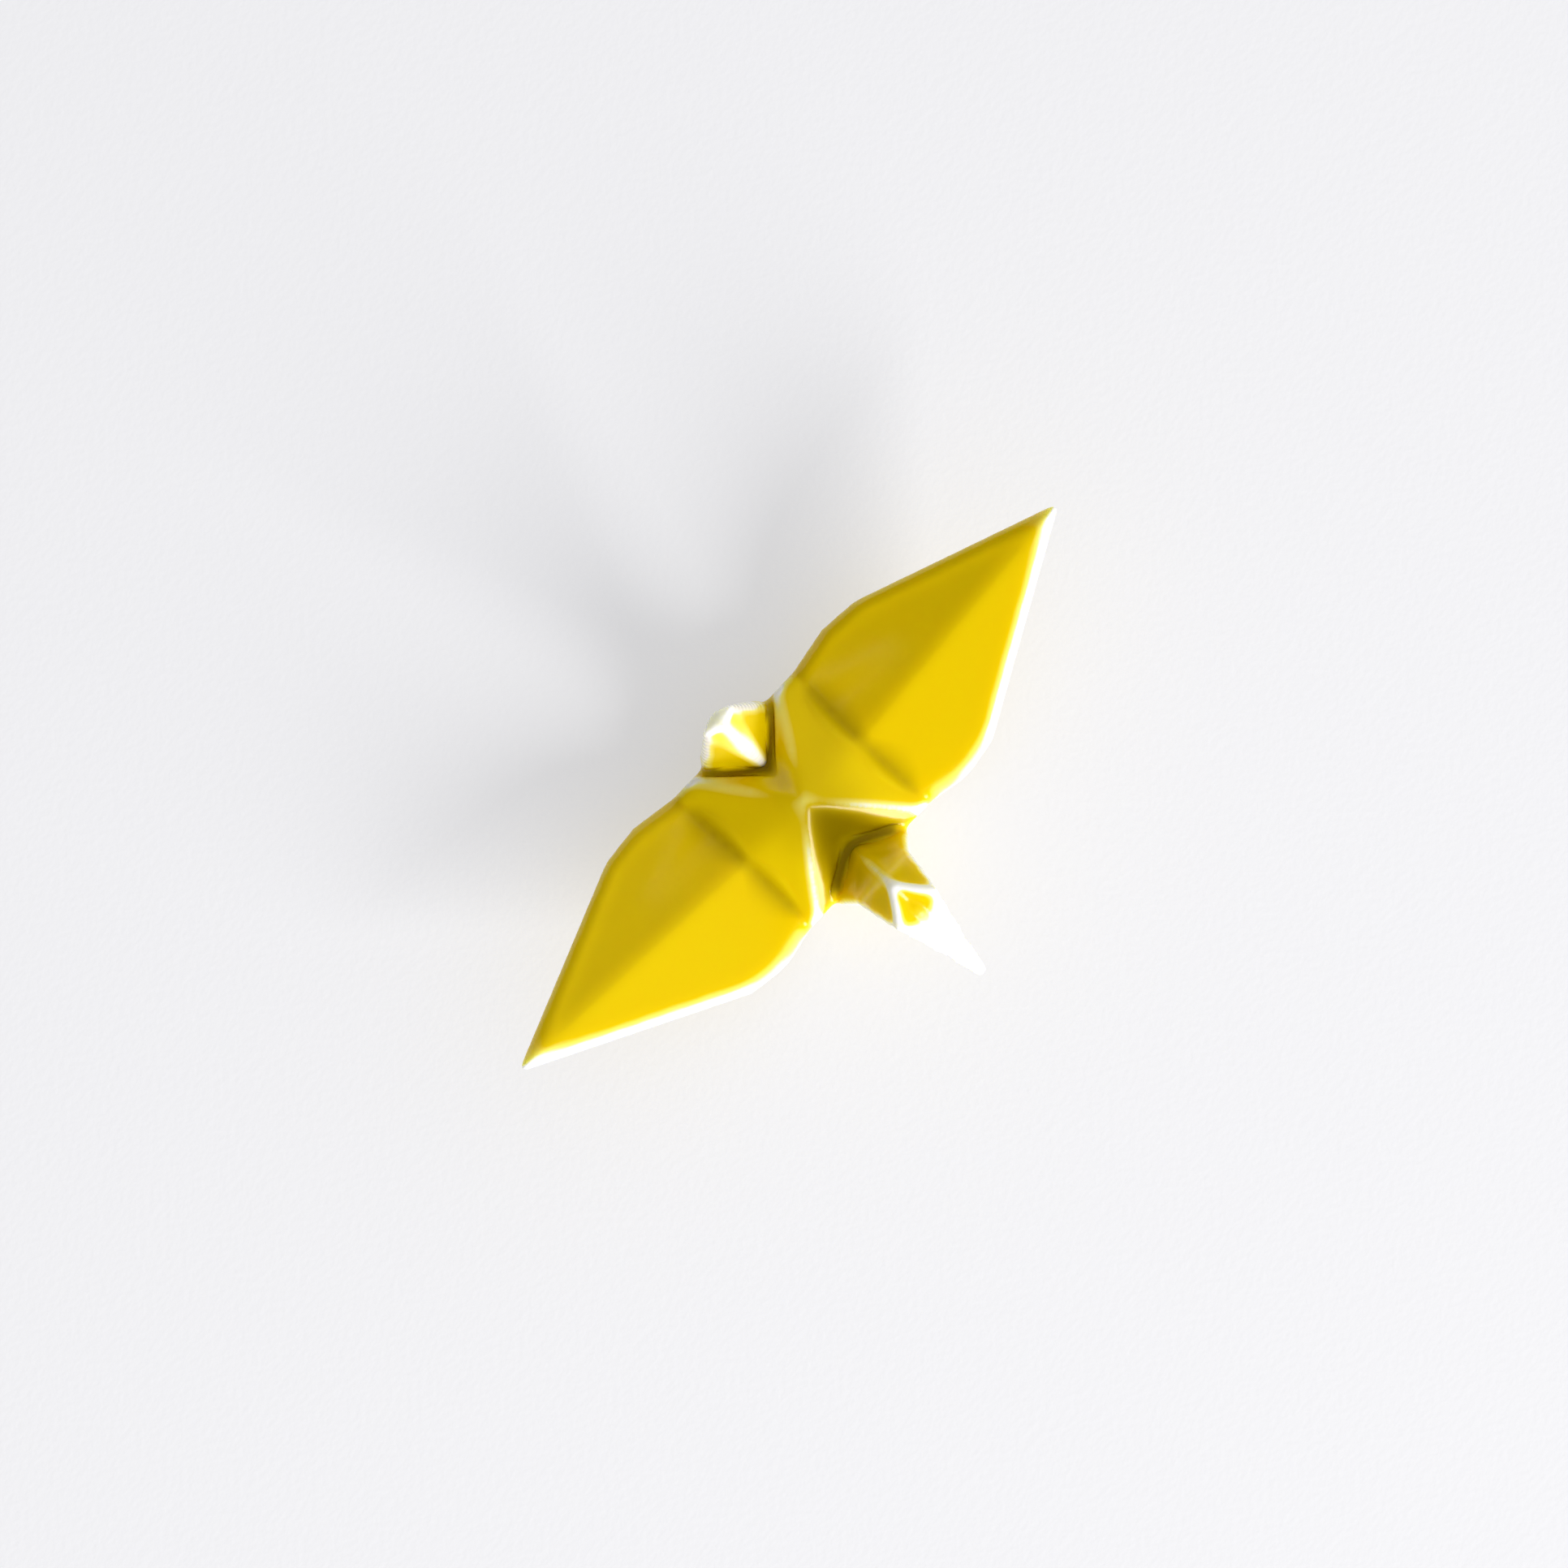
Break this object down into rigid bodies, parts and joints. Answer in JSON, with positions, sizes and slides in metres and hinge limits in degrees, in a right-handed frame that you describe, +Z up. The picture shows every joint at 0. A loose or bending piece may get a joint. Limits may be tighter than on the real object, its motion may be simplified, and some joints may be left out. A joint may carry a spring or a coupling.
{
  "type": "folded crane figurine",
  "caption": "Small folded crane in porcelain with a translucent yellow glaze, wings spread, on a flat unglazed foot.",
  "frame": {"origin": "on the table, midway between the wing tips and midway between the beak's tip and the tail's tip", "axes": "the crane faces -Y, its wings spread along X, and +Z is up"},
  "size_m": [0.084, 0.0404, 0.031],
  "materials": {
    "porcelain": "smooth white fired porcelain",
    "bare_porcelain": "matte unglazed biscuit",
    "yellow_glaze": "high-gloss translucent yellow glaze, pooled darker in creases and thin on edges"
  },
  "bodies": {
    "root": {"back": "porcelain", "belly": "porcelain", "left_wing": "porcelain", "right_wing": "porcelain", "neck": "porcelain", "head": "porcelain", "tail": "porcelain", "foot_ring": "bare_porcelain", "glaze_coat": "yellow_glaze"}
  },
  "joints": []
}
